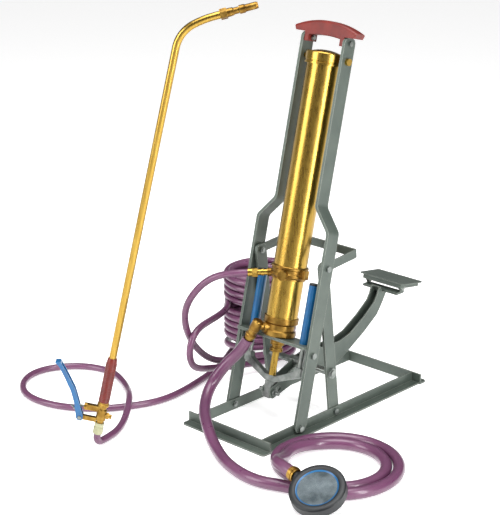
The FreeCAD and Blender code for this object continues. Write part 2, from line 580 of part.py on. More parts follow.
# ---------------------------------------------------------------- what slides with the plunger
def plunger_group():
    radius = "Dims.plunger_radius"
    node("plunger_tube", turned("plunger_tube_body", [
        ("0", "Dims.yoke_top"), (radius, "Dims.yoke_top"), (radius, "252"), ("0", "252")]), MAST)
    head = "Dims.barrel_radius - Dims.barrel_wall - 0.4"
    node("piston_cup", turned("piston_cup_body", [
        ("0", "252.05"), (head, "252.05"), (head, "257"), (f"{head} - 3", "259"), (f"{head} - 3", "262"),
        (head, "264"), (head, "269"), ("0", "269")]), MAST)
    outline = [("-85", "126"), ("-14", "96"), ("14", "96"), ("85", "126"), ("85", "146"), ("67", "146"),
               ("65", "135"), ("16", "Dims.yoke_top"), ("-16", "Dims.yoke_top"), ("-65", "135"),
               ("-67", "146"), ("-85", "146")]
    body = pad("drive_yoke_body", "XZ_Plane", outline, "Dims.yoke_thick", middle=True)
    rounded(body, "2", lambda e: along(e, Y_AXIS))
    node("drive_yoke", body, MAST)
    tongue = block("tongue_block", ("2 * Dims.tongue_half", "20", "38"),
                   Place(Vec(0, 0, 96 - 19 - D["fit_gap"]), Rot()))
    drill = hole("tongue_bore", Vec(0, 0, D["pin_w"]), X_AXIS, 60.0, "Dims.pin_radius + Dims.fit_gap")
    node("clevis_tongue", cut("clevis_tongue", tongue, [drill]), MAST)
    shank = cylinder("clevis_shank", "Dims.pin_radius", "2 * Dims.pin_half",
                     facing(Vec(-D["pin_half"], 0, D["pin_w"]), X_AXIS))
    collars = [cylinder(f"clevis_collar_{name}", "8", "5",
                        facing(Vec(side * (D["arm_half"] + 1.2), 0, D["pin_w"]), Vec(side, 0, 0)))
               for name, side in SIDES]
    node("clevis_pin", fused("clevis_pin", [shank] + collars), MAST)
    rods = [cylinder(f"push_rod_{name}", "Dims.rod_radius", "82", Place(Vec(side * D["rod_x"], 0, 146), Rot()))
            for name, side in SIDES]
    node("push_rods", gathered("push_rods", rods), MAST)


# ---------------------------------------------------------------- pedal lever
def row_outline(name, outline, half):
    """A body drawn in side view (y, z) and padded equally to both sides."""
    return pad(name, "YZ_Plane", [(str(y), str(z)) for y, z in outline], f"2 * ({half})", middle=True)


def pedal_arm():
    """Channel-section arm: forked and slotted in front, open above behind the shaft."""
    outline = [(133, 54), (229, 77), (291, 75), (330, 62), (357, 75.5), (402.6, 96.8), (458.8, 127.5),
               (506.5, 159), (527, 187), (541, 210), (524, 210), (518, 225), (511, 221), (505.7, 206.6),
               (496, 192.5), (457.5, 165), (408.7, 138), (370, 129), (282, 132.5), (243, 125), (215, 112),
               (128, 80)]
    body = row_outline("pedal_arm_body", outline, "Dims.arm_half")
    bends = ((330, 62), (370, 129))
    rounded(body, "25", lambda e: along(e, X_AXIS) and any(
        math.hypot(middle_of(e).y - y, middle_of(e).z - z) < 1 for y, z in bends))
    rounded(body, "9", lambda e: along(e, X_AXIS) and middle_of(e).y < 134)
    channel = [(100, 30), (232, 30), (232, 80.5), (291, 78), (330, 65.5), (355.5, 78.2), (401, 99.7),
               (457, 130.3), (504, 161.5), (524, 189), (536.4, 209.9), (523, 209.9), (517, 222),
               (507, 260), (100, 260)]
    cavity = row_outline("pedal_arm_channel", channel, "Dims.channel_half")
    rest = point(MAST, 0, 0, D["pin_w"])
    turn = Rot(X_AXIS, D["lever_travel"])
    travel = D["lever_ratio"] * math.radians(D["lever_travel"])
    end = PIVOT + turn.multVec(rest + MAST.Rotation.multVec(Z_AXIS) * travel - PIVOT)
    slide = end - rest
    sag = X_AXIS.cross(slide).normalize() * -D["slot_sag"]
    ends = [hole(f"slot_end_{i}", spot + sag, X_AXIS, 60.0, "Dims.slot_half")
            for i, spot in enumerate((rest, end))]
    lean = math.degrees(math.atan2(slide.z, slide.y))
    middle = Place((rest + end) / 2 + sag, Rot(X_AXIS, lean))
    slot = block("slot_middle", ("60", str(slide.Length), "2 * Dims.slot_half"), middle)
    drill = hole("arm_hub_drill", PIVOT, X_AXIS, 60.0, "Dims.hub_radius + Dims.fit_gap")
    node("pedal_arm", cut("pedal_arm", body, [cavity, slot, drill] + ends))


def lever_hub():
    half = D["arm_half"] + 2
    body = turned("lever_hub_body", [("Dims.shaft_radius + Dims.run_gap", str(-half)),
                                     ("Dims.hub_radius", str(-half)), ("Dims.hub_radius", str(half)),
                                     ("Dims.shaft_radius + Dims.run_gap", str(half))])
    node("lever_hub", body, facing(PIVOT, X_AXIS))


def pivot_shaft():
    """Shaft through both struts, with a nut outside each and a collar each side of the hub."""
    half = D["rail_half"] + 5
    node("pivot_shaft", cylinder("pivot_shaft_body", "Dims.shaft_radius", str(2 * half),
                                 facing(PIVOT - X_AXIS * half, X_AXIS)))
    nuts = []
    for name, side in SIDES:
        outward = Vec(side, 0, 0)
        face = at_side(side, D["rail_half"] - D["iron_wall"] + 0.05, PIVOT)
        inner = at_side(side, D["arm_half"] + 2.6, PIVOT)
        ring = cylinder(f"shaft_ring_{name}", "12.5", "7", facing(inner, outward))
        whole = fused(f"shaft_nut_{name}", [hexagon(f"shaft_hex_{name}", "13", "6", facing(face, outward)),
                                            ring])
        nuts.append(cut(f"shaft_nut_bored_{name}", whole, [
            hole(f"shaft_nut_drill_{name}", PIVOT, X_AXIS, 260.0, "Dims.shaft_radius + Dims.fit_gap")]))
    node("shaft_nuts", gathered("shaft_nuts", nuts))


PEDAL_PIN = Vec(0, D["pedal_pin_y"], D["pedal_pin_z"])
PEDAL = Place(Vec(0, D["pedal_y"], D["pedal_z"]), Rot(X_AXIS, -D["pedal_tilt"]))


def pedal_bracket():
    """Cross bar welded on the arm's end, with an ear at each side for the pedal's pin."""
    bar = block("bracket_bar", ("2 * Dims.bracket_half", "24", "5"), Place(Vec(0, 542, 212.55), Rot()))
    pieces = [bar]
    for name, side in SIDES:
        x = side * (D["bracket_half"] - 1.5)
        pieces.append(block(f"bracket_ear_{name}", ("3", "14", "14"), Place(Vec(x, 551, 217.5), Rot())))
        pieces.append(hole(f"bracket_eye_{name}", Vec(x, 551, 224), X_AXIS, 3.0, "7"))
    drill = hole("bracket_drill", PEDAL_PIN, X_AXIS, 200.0, "Dims.pedal_pin_radius + Dims.fit_gap")
    node("pedal_bracket", cut("pedal_bracket", fused("bracket_whole", pieces), [drill]))


def pedal_pin():
    half = D["bracket_half"] + 3
    shank = cylinder("pedal_pin_shank", "Dims.pedal_pin_radius", str(2 * half),
                     facing(PEDAL_PIN - X_AXIS * half, X_AXIS))
    heads = [cylinder(f"pedal_pin_head_{name}", "6.5", "2.5",
                      facing(at_side(side, D["bracket_half"] + 0.5, PEDAL_PIN), Vec(side, 0, 0)))
             for name, side in SIDES]
    node("pedal_pin", fused("pedal_pin", [shank] + heads))


def pedal_plate():
    """Pressed foot plate with a turned-down rim and two lugs on the pin."""
    wide, deep, skin = "Dims.pedal_length", "Dims.pedal_width", "Dims.pedal_sheet"
    def outline(in_x, in_y):
        """Rectangle inside the plate's edge by two distances."""
        left, right = f"-{wide} / 2 + ({in_x})", f"{wide} / 2 - ({in_x})"
        near, far = f"-{deep} / 2 + ({in_y})", f"{deep} / 2 - ({in_y})"
        return [(left, near), (right, near), (right, far), (left, far)]

    top = pad("pedal_top", "XY_Plane", outline("0", "0"), skin, reverse=True)
    rounded(top, "7", lambda e: along(e, Z_AXIS))
    rounded(top, "1", lambda e: middle_of(e).z > -0.01)
    skirt = pad("pedal_skirt", "XY_Plane", outline("9", "2"), "Dims.pedal_drop", reverse=True)
    rounded(skirt, "6", lambda e: along(e, Z_AXIS))
    inner = pad("pedal_inner", "XY_Plane", outline(f"9 + {skin}", f"2 + {skin}"), "Dims.pedal_drop",
                reverse=True)
    rounded(inner, "3.5", lambda e: along(e, Z_AXIS))
    inner.Placement = Place(Vec(0, 0, -D["pedal_sheet"]), Rot())
    plate = cut("pedal_dish", fused("pedal_pressing", [top, skirt]), [inner])
    eye = PEDAL.inverse().multVec(PEDAL_PIN)
    pieces = [plate]
    for name, side in SIDES:
        x = side * (D["bracket_half"] - 6)
        high = -D["pedal_sheet"] - eye.z + 1
        pieces.append(block(f"pedal_lug_{name}", ("3", "13", str(high)),
                            Place(Vec(x, eye.y, eye.z + high / 2), Rot())))
        pieces.append(hole(f"pedal_eye_{name}", Vec(x, eye.y, eye.z), X_AXIS, 3.0, "6.5"))
    drill = hole("pedal_drill", Vec(0, eye.y, eye.z), X_AXIS, 200.0,
                 "Dims.pedal_pin_radius + Dims.run_gap")
    node("pedal_plate", cut("pedal_plate", fused("pedal_whole", pieces), [drill]), PEDAL)


# ---------------------------------------------------------------- lance
LANCE = Place(Vec(D["lance_x"], D["lance_y"], D["lance_z"]),
              Rot(Z_AXIS, D["lance_turn"]).multiply(Rot(Y_AXIS, D["lance_tilt"])))
TRIGGER_PIVOT = Vec(D["trigger_x"], 0, D["trigger_z"])


def lance_valve():
    node("hose_connector", turned("hose_connector_body", [
        ("0", "0"), ("10", "0"), ("11", "1"), ("11", "15"), ("9.5", "16"), ("9.5", "19"), ("10.5", "20"),
        ("10.5", "26"), ("0", "26")]), LANCE)
    column = turned("valve_column", [
        ("0", "26.05"), ("8", "26.05"), ("8", "31"), ("11", "33"), ("11", "57"), ("8.5", "60"), ("8.5", "66"),
        ("0", "66")])
    column.Placement = LANCE
    upper = block("valve_upper_arm", ("34", "12", "12"), LANCE.multiply(Place(Vec(-21, 0, 58), Rot())))
    lower = block("valve_lower_arm", ("36", "10", "9.5"), LANCE.multiply(Place(Vec(-27, 0, 31.7), Rot())))
    eye = hole("valve_eye", point(LANCE, D["trigger_x"], 0, D["trigger_z"]),
               LANCE.Rotation.multVec(Y_AXIS), 10.0, "5.5")
    boss = hexagon("valve_boss_hex", "8", "8", LANCE.multiply(facing(Vec(9, 0, 44), X_AXIS)))
    tip = cylinder("valve_boss_tip", "5", "14", LANCE.multiply(facing(Vec(9, 0, 44), X_AXIS)))
    gland_nut = cylinder("valve_gland", "7.5", "6", LANCE.multiply(facing(Vec(-34, 0, 58), -X_AXIS)))
    drill = hole("valve_pin_drill", point(LANCE, D["trigger_x"], 0, D["trigger_z"]),
                 LANCE.Rotation.multVec(Y_AXIS), 40.0, "2.5 + Dims.fit_gap")
    stem_way = cylinder("valve_stem_way", "2.5 + Dims.run_gap", "36",
                        LANCE.multiply(facing(Vec(-45, 0, 57.5), X_AXIS)))
    whole = fused("valve_whole", [column, upper, lower, eye, boss, tip, gland_nut])
    node("valve_body", cut("valve_body", whole, [drill, stem_way]))
    node("valve_stem", cylinder("valve_stem", "2.5", "36.8", LANCE.multiply(
        facing(Vec(-55, 0, 57.5), X_AXIS))))


def lance_pipe():
    sleeve = "Dims.lance_radius + Dims.fit_gap"
    node("lance_ferrule", turned("lance_ferrule_body", [
        (sleeve, "66.05"), ("12", "66.05"), ("13", "67"), ("13", "72"), ("11.5", "73"), ("11.5", "75.95"),
        (sleeve, "75.95")]), LANCE)
    radius, low, top = "Dims.grip_radius", "Dims.grip_low", "Dims.grip_top"
    node("lance_grip", turned("lance_grip_body", [
        (sleeve, low), (radius, low), (radius, f"{top} - 12"), (f"{radius} - 2", f"{top} - 2"),
        (f"{radius} - 3", top), (sleeve, top)]), LANCE)
    first, second = D["bend_radius"], D["sweep_radius"]
    turn, total = math.radians(D["bend_turn"]), math.radians(D["bend_turn"] + D["sweep_turn"])
    low, start = Vec(0, 0, D["lance_start"]), Vec(0, 0, D["bend_start"])

    def bent(angle, radius, centre):
        return centre + Vec(-math.cos(angle), 0, math.sin(angle)) * radius

    middle = start + X_AXIS * first
    bend_end = bent(turn, first, middle)
    far = bend_end + (middle - bend_end).normalize() * second
    sweep_end = bent(total, second, far)
    neck = Vec(math.sin(total), 0, math.cos(total))
    tip = sweep_end + neck * D["neck_length"]
    edges = [Part.LineSegment(low, start).toShape(),
             Part.Arc(start, bent(turn / 2, first, middle), bend_end).toShape(),
             Part.Arc(bend_end, bent((turn + total) / 2, second, far), sweep_end).toShape(),
             Part.LineSegment(sweep_end, tip).toShape()]
    pipe = swept(edges, D["lance_radius"])
    node("lance_tube", shaped("lance_tube", pipe, LANCE))
    return LANCE.multiply(Place(tip, Rot(Y_AXIS, math.degrees(total))))


def swept(edges, radius):
    """A round rod along straight runs and tangent arcs."""
    path = Part.Wire(edges)
    start = path.Edges[0].valueAt(path.Edges[0].FirstParameter)
    ahead = path.Edges[0].tangentAt(path.Edges[0].FirstParameter)
    face = Part.Face(Part.Wire(Part.Circle(start, ahead, radius).toShape()))
    return path.makePipe(face)


def nozzle(place):
    nut = hexagon("nozzle_hex", "11.5", "14", place)
    collar = cylinder("nozzle_collar", "9", "22", place)
    node("nozzle_nut", fused("nozzle_nut", [nut, collar]))
    node("nozzle_body", turned("nozzle_body_turned", [
        ("0", "22.05"), ("8.5", "22.05"), ("8.5", "26"), ("7", "28"), ("7", "38"), ("5", "39"), ("5", "62"),
        ("0", "62")]), place)
    node("nozzle_cap", turned("nozzle_cap_body", [
        ("5 + Dims.run_gap", "39.3"), ("9", "39.3"), ("9", "50"), ("7.5", "52"), ("7.5", "74"), ("6", "78"),
        ("1.2", "78"), ("1.2", "66"), ("5 + Dims.run_gap", "62.6")]), place)


def trigger():
    """Pressed channel lever on the valve, open towards the lance, with its set screw."""
    outer = [(-48, 25), (-52.5, 30), (-54.8, 39.4), (-62.6, 64.3), (-73.5, 88.4), (-90.1, 113.6),
             (-107.7, 138.5), (-120.4, 148.8)]
    inner = [(-107.4, 151), (-99.2, 140.3), (-82.1, 117.8), (-65.9, 94.9), (-55.4, 73.1), (-45.6, 51.2),
             (-38.6, 38.1), (-37.4, 30), (-41, 25)]
    outline = [(str(x - D["trigger_x"]), str(z - D["trigger_z"])) for x, z in outer + inner]
    body = pad("trigger_body", "XZ_Plane", outline, "2 * Dims.trigger_half", middle=True)
    rounded(body, "1.5", lambda e: middle_of(e).z > 0 and along(e, Y_AXIS))
    inside = [(-70, 10), (-51.3, 41.5), (-59.2, 65.5), (-70.3, 90), (-87, 115.5), (-104, 139.5), (-104, 170),
              (-20, 170), (-20, 10)]
    hollow = [(str(x - D["trigger_x"]), str(z - D["trigger_z"])) for x, z in inside]
    channel = pad("trigger_channel", "XZ_Plane", hollow, "2 * (Dims.trigger_half - Dims.trigger_wall)",
                  middle=True)
    drill = hole("trigger_drill", Vec(), Y_AXIS, 40.0, "2.5 + Dims.run_gap")
    place = LANCE.multiply(Place(TRIGGER_PIVOT, Rot()))
    node("trigger_lever", cut("trigger_lever", body, [channel, drill]), place)
    shank = cylinder("trigger_pin_shank", "2.5", "23", facing(Vec(0, -11.5, 0), Y_AXIS))
    heads = [cylinder(f"trigger_pin_head_{i}", "4", "1.5", facing(Vec(0, side * 9.6, 0), Vec(0, side, 0)))
             for i, side in enumerate((-1, 1))]
    node("trigger_pin", fused("trigger_pin", [shank] + heads), place)
    screw = facing(Vec(-57.5, 0, 47) - TRIGGER_PIVOT, Vec(-0.8, 0, 0.6))
    shaft = cylinder("set_screw_shaft", "2", "13", screw)
    nut = hexagon("set_screw_nut", "3.6", "3", screw.multiply(Place(Vec(0, 0, 1), Rot())))
    node("trigger_screw", fused("trigger_screw", [shaft, nut]), place)


# ---------------------------------------------------------------- hoses and strainer
OUTLET_END = MAST.multVec(delivery_mouth())
SUCTION_MOUTH = MAST.multVec(SUCTION_END)
STRAINER = Vec(366, -110, 39)
STRAINER_INLET = Vec(0.98, -0.08, -0.17).normalize()
STRAINER_FACE = Vec(0.117, -0.452, 0.885)
SUCTION_FAR = STRAINER - STRAINER_INLET * 80

DELIVERY_LEAD = [tuple(OUTLET_END), (-118, 121, 329), (-168, 100, 300), (-205, 78, 240), (-225, 98, 172),
                 (-240, 150, 100), (-242, 215, 50), (-230, 290, 44), (-200, 352, 41)]
DELIVERY_LOOP = [(-323, 339, 152), (-282, 297, 157), (-250, 240, 163), (-228, 178, 168), (-214, 130, 168),
                 (-210, 104, 149), (-210, 95, 116), (-213, 106, 83), (-217, 134, 64), (-222, 185, 50),
                 (-227, 240, 34), (-219, 300, 26), (-204, 347, 24.5)]
DELIVERY_TAIL = [(-330, 352, 8.1), (-300, 300, 8.1), (-275, 235, 8.1), (-257, 165, 8.1), (-243, 95, 8.1),
                 (-242, 35, 8.1), (-262, -25, 8.1), (-310, -100, 8.1), (-400, -160, 8.1), (-500, -165, 8.1),
                 (-572, -110, 8.1), (-592, -35, 8.1), (-545, 45, 8.1), (-460, 76, 8.1), (-390, 50, 8.1),
                 (-336, 16, 13), (-288, -22, 25), (-252, -58, 25), (-216, -103, 13), (-190, -150, 8.6),
                 (-180.1, -190.5, 8.6), (-177.6, -211.4, 8.6), (-175.6, -220.2, 14.2),
                 (-173.4, -224.5, 23.6), (D["lance_x"], D["lance_y"], D["lance_z"])]
SUCTION_LEAD = [tuple(SUCTION_MOUTH), (-63.2, 119.1, 160.1), (-98, 98, 118), (-112, 62, 72), (-82, 14, 46),
                (-35, -26, 36), (30, -66, 13.5), (115, -112, 13.5), (205, -128, 13.5), (275, -98, 13.5)]
SUCTION_TAIL = [(200, -28, 30), (213, -60, 42), (232, -88, 52), (256, -101, 58.2), tuple(SUCTION_FAR)]


def hose(label, points, radius):
    """A hose along hand-chosen points: straight runs joined by tangent arcs."""
    route = [Vec(*spot) for spot in points]
    edges, start, radii, length = [], route[0], [], 0.0
    for before, corner, after in zip(route, route[1:], route[2:]):
        back, ahead = before - corner, after - corner
        half_turn = (math.pi - back.getAngle(ahead)) / 2
        reach = 0.45 * min(back.Length, ahead.Length)
        bend = reach / math.tan(half_turn)
        radii.append(bend)
        enter, leave = corner + back.normalize() * reach, corner + ahead.normalize() * reach
        centre_way = (back + ahead).normalize()
        middle = corner + centre_way * (bend / math.cos(half_turn) - bend)
        edges += [Part.LineSegment(start, enter).toShape(), Part.Arc(enter, middle, leave).toShape()]
        start = leave
    edges.append(Part.LineSegment(start, route[-1]).toShape())
    length = sum(edge.Length for edge in edges)
    solid = swept(edges, radius)
    print(f"{label}: length {length:.0f}, least radius {min(radii):.0f}, "
          f"volume ratio {solid.Volume / (math.pi * radius ** 2 * length):.4f}, "
          f"radii {[round(bend) for bend in radii]}")
    return node(label, shaped(label, solid))


def coil(label, centre_x, centre_y, outer, inner, high, edge):
    """The outer shape of a coil of hose that lies on the floor: a ring with rounded edges."""
    body = turned(label + "_body", [(inner, "0"), (outer, "0"), (outer, high), (inner, high)])
    rounded(body, edge, lambda e: e.Curve.TypeId == "Part::GeomCircle")
    return node(label, body, Place(Vec(centre_x, centre_y, 0), Rot()))


def strainer():
    drum = facing(STRAINER, STRAINER_FACE)
    rim = "Dims.strainer_radius"
    body = turned("strainer_body_turned", [
        ("0", "-12"), (f"{rim} - 4", "-12"), (rim, "-8"), (rim, "10"), (f"{rim} - 2", "12"),
        (f"{rim} - 6", "12"), (f"{rim} - 6", "9"), (f"{rim} - 4", "9"), (f"{rim} - 4", "-9"), ("0", "-9")])
    body.Placement = drum
    neck = cylinder("strainer_neck", "10", "12", facing(STRAINER - STRAINER_INLET * 65, STRAINER_INLET))
    node("strainer_body", fused("strainer_body", [body, neck]))
    node("strainer_mesh", cylinder("strainer_mesh", f"{rim} - 6.1", "1.5",
                                   drum.multiply(Place(Vec(0, 0, 9.2), Rot()))))
    collar = cylinder("strainer_ferrule_tube", "14.5", "14.9", facing(SUCTION_FAR, STRAINER_INLET))
    band = cylinder("strainer_ferrule_band", "16", "5",
                    facing(SUCTION_FAR + STRAINER_INLET * 5, STRAINER_INLET))
    node("strainer_ferrule", fused("strainer_ferrule", [collar, band]))


# ---------------------------------------------------------------- the whole object
def build_stand():
    base_bar("base_front_bar", False)
    base_bar("base_rear_bar", True)
    for name, side in SIDES:
        base_rail(f"base_rail_{name}", side)
        upright(f"upright_{name}", side)
        strut(f"strut_{name}", side)
    brace_strap()
    cross_plate()
    frame_bolts()
    handle_grip()
    stay_bolts()


def build_pump():
    vessel()
    collar()
    delivery_outlet()
    barrel()
    base_casting()
    suction_elbow()
    gland()
    spring_tubes()
    plunger_group()


def build_lever():
    pedal_arm()
    lever_hub()
    pivot_shaft()
    pedal_bracket()
    pedal_pin()
    pedal_plate()


def build_lance():
    lance_valve()
    nozzle(lance_pipe())
    trigger()


def build_hoses():
    hose("delivery_hose_lead", DELIVERY_LEAD, D["delivery_radius"])
    hose("delivery_hose_loop", DELIVERY_LOOP, D["delivery_radius"])
    hose("delivery_hose_tail", DELIVERY_TAIL, D["delivery_radius"])
    hose("suction_hose_lead", SUCTION_LEAD, D["suction_radius"])
    hose("suction_hose_tail", SUCTION_TAIL, D["suction_radius"])
    coil("delivery_coil", D["stack_x"], D["stack_y"], "Dims.stack_outer", "Dims.stack_inner",
         "Dims.stack_high", "7.5")
    coil("suction_coil", D["ring_x"], D["ring_y"], "Dims.ring_outer", "Dims.ring_inner",
         "Dims.ring_high", "12")
    strainer()


build_stand()
build_pump()
build_lever()
build_lance()
build_hoses()
doc.recompute()

faults = [o.Label for o in doc.Objects if "Invalid" in o.State or "Error" in o.State]
faults += [o.Label for o in NODES if o.Shape.isNull() or not o.Shape.isValid() or not o.Shape.Solids]
if faults:
    raise SystemExit(f"failed objects: {faults}")

os.makedirs("parts", exist_ok=True)
for old in os.listdir("parts"):
    if old.endswith(".step"):
        os.remove(os.path.join("parts", old))
for sub_part in NODES:
    sub_part.Shape.exportStep(os.path.join("parts", sub_part.Label + ".step"))
    print(f"{sub_part.Label}: {len(sub_part.Shape.Solids)} solid(s), {sub_part.Shape.Volume / 1000:.1f} cm3")
print(len(NODES), "sub-parts")
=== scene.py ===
import json
import math

import bmesh
import bpy
from mathutils import Matrix, Vector


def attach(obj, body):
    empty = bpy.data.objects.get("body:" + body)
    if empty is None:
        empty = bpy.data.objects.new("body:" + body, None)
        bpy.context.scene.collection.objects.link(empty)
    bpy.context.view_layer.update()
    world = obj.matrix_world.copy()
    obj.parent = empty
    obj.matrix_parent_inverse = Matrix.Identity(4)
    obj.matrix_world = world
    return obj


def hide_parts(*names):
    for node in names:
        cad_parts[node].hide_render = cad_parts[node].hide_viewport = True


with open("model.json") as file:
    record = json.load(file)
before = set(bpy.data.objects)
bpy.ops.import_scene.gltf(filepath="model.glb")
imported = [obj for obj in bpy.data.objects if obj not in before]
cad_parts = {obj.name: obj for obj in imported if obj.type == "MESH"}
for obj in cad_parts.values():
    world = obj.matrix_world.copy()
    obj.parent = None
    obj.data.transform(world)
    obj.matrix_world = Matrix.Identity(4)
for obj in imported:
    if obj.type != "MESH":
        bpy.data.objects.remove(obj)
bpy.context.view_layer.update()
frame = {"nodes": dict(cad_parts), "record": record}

NODES = frame["nodes"]
SLOTS = {part["node"]: part["material_slot"] for part in frame["record"]["subparts"]}

# ---------------------------------------------------------------- sizes and places, in metres
HOSE_WIDTH = 0.016
SUCTION_WIDTH = 0.026
STACK_CENTRE = (-0.276, 0.406)
RING_CENTRE = (0.279, 0.046)
POINTS_PER_TURN = 20
LATHE_SEGMENTS = 72
SHARP_ANGLE = math.radians(50)

# Hose routes: the same points as the CAD's tubes.
DELIVERY_LEAD = [
    (-0.0752, 0.1516, 0.3329), (-0.118, 0.121, 0.329), (-0.168, 0.100, 0.300), (-0.205, 0.078, 0.240),
    (-0.225, 0.098, 0.172), (-0.240, 0.150, 0.100), (-0.242, 0.215, 0.050), (-0.230, 0.290, 0.044),
    (-0.200, 0.352, 0.041)]
DELIVERY_LOOP = [
    (-0.323, 0.339, 0.152), (-0.282, 0.297, 0.157), (-0.250, 0.240, 0.163), (-0.228, 0.178, 0.168),
    (-0.214, 0.130, 0.168), (-0.210, 0.104, 0.149), (-0.210, 0.095, 0.116), (-0.213, 0.106, 0.083),
    (-0.217, 0.134, 0.064), (-0.222, 0.185, 0.050), (-0.227, 0.240, 0.034), (-0.219, 0.300, 0.026),
    (-0.204, 0.347, 0.0245)]
DELIVERY_TAIL = [
    (-0.330, 0.352, 0.0081), (-0.300, 0.300, 0.0081), (-0.275, 0.235, 0.0081), (-0.257, 0.165, 0.0081),
    (-0.243, 0.095, 0.0081), (-0.242, 0.035, 0.0081), (-0.262, -0.025, 0.0081), (-0.310, -0.100, 0.0081),
    (-0.400, -0.160, 0.0081), (-0.500, -0.165, 0.0081), (-0.572, -0.110, 0.0081), (-0.592, -0.035, 0.0081),
    (-0.545, 0.045, 0.0081), (-0.460, 0.076, 0.0081), (-0.390, 0.050, 0.0081), (-0.336, 0.016, 0.013),
    (-0.288, -0.022, 0.025), (-0.252, -0.058, 0.025), (-0.216, -0.103, 0.013), (-0.190, -0.150, 0.0086),
    (-0.1801, -0.1905, 0.0086), (-0.1776, -0.2114, 0.0086), (-0.1756, -0.2202, 0.0142),
    (-0.1734, -0.2245, 0.0236), (-0.1718, -0.2230, 0.0340)]
SUCTION_LEAD = [
    (-0.0470, 0.1230, 0.1897), (-0.0632, 0.1191, 0.1601), (-0.098, 0.098, 0.118), (-0.112, 0.062, 0.072),
    (-0.082, 0.014, 0.046), (-0.035, -0.026, 0.036), (0.030, -0.066, 0.0135), (0.115, -0.112, 0.0135),
    (0.205, -0.128, 0.0135), (0.275, -0.098, 0.0135)]
SUCTION_TAIL = [
    (0.200, -0.028, 0.030), (0.213, -0.060, 0.042), (0.232, -0.088, 0.052), (0.256, -0.101, 0.0582),
    (0.2875, -0.1036, 0.0526)]

# Inside a coil the hose follows knots of (degrees turned, radius, height).
STACK_UP = [(348, 0.084, 0.0415), (528, 0.065, 0.044), (1608, 0.065, 0.224), (1788, 0.082, 0.232),
            (3455, 0.082, 0.153)]
STACK_DOWN = [(342, 0.084, 0.0245), (520, 0.082, 0.0275), (674, 0.082, 0.0578), (2395, 0.082, 0.1355),
              (2595, 0.047, 0.130), (3595, 0.047, 0.0081), (3810, 0.074, 0.0081)]
RING_TURNS = [(292, 0.135, 0.0135), (560, 0.133, 0.0135), (620, 0.1065, 0.0135), (870, 0.1065, 0.0135),
              (930, 0.107, 0.026)]


# ---------------------------------------------------------------- mesh and curve helpers
def finished(piece, body, material):
    """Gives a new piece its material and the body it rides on."""
    piece.data.materials.append(material)
    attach(piece, body)
    return piece


def new_object(name, data):
    """An object in the scene for a mesh, curve, light or camera."""
    piece = bpy.data.objects.new(name, data)
    bpy.context.scene.collection.objects.link(piece)
    return piece


def coil_points(centre, knots):
    """Points round a coil, their radius and height running straight between the knots."""
    step = 360 / POINTS_PER_TURN
    outward = 1 / math.cos(math.pi / POINTS_PER_TURN)
    points = []
    angle = knots[0][0]
    while angle <= knots[-1][0]:
        for (a, r0, z0), (b, r1, z1) in zip(knots, knots[1:]):
            if a <= angle <= b:
                part = (angle - a) / (b - a)
                radius, height = r0 + (r1 - r0) * part, z0 + (z1 - z0) * part
        turn = math.radians(angle)
        points.append((centre[0] + radius * outward * math.cos(turn),
                       centre[1] + radius * outward * math.sin(turn), height))
        angle += step
    return points


def hose(name, points, width, material):
    """A round hose on one smooth line."""
    curve = bpy.data.curves.new(name, "CURVE")
    curve.dimensions = "3D"
    curve.bevel_depth = width / 2
    curve.bevel_resolution = 5
    curve.resolution_u = 6
    spline = curve.splines.new("NURBS")
    spline.points.add(len(points) - 1)
    for spot, place in zip(spline.points, points):
        spot.co = (*place, 1.0)
    spline.order_u = 3
    spline.use_endpoint_u = True
    piece = new_object(name, curve)
    return finished(piece, "stand", material)


def lathe(name, profile, place):
    """A closed turned piece: profile points of (radius, height), turned about the place's Z axis."""
    vertices = []
    for radius, height in profile:
        for i in range(LATHE_SEGMENTS):
            turn = 2 * math.pi * i / LATHE_SEGMENTS
            vertices.append(place @ Vector((radius * math.cos(turn), radius * math.sin(turn), height)))
    rows = [range(LATHE_SEGMENTS * k, LATHE_SEGMENTS * (k + 1)) for k in range(len(profile))]
    faces = []
    for low, high in zip(rows, rows[1:] + rows[:1]):
        for i in range(LATHE_SEGMENTS):
            j = (i + 1) % LATHE_SEGMENTS
            faces.append((low[i], low[j], high[j], high[i]))
    mesh = bpy.data.meshes.new(name)
    mesh.from_pydata(vertices, [], faces)
    mesh.validate()
    face_outward(mesh)
    mesh.set_sharp_from_angle(angle=SHARP_ANGLE)
    return new_object(name, mesh)


def face_outward(mesh):
    """Turns every face of a closed mesh outward."""
    work = bmesh.new()
    work.from_mesh(mesh)
    bmesh.ops.recalc_face_normals(work, faces=work.faces)
    work.to_mesh(mesh)
    work.free()


def axis_place(origin, direction):
    """A placement whose Z axis points along a direction."""
    z = Vector(direction).normalized()
    x = Vector((0.0, 0.0, 1.0)).cross(z).normalized()
    y = z.cross(x)
    rotation = Matrix((x, y, z)).transposed().to_4x4()
    return Matrix.Translation(Vector(origin)) @ rotation


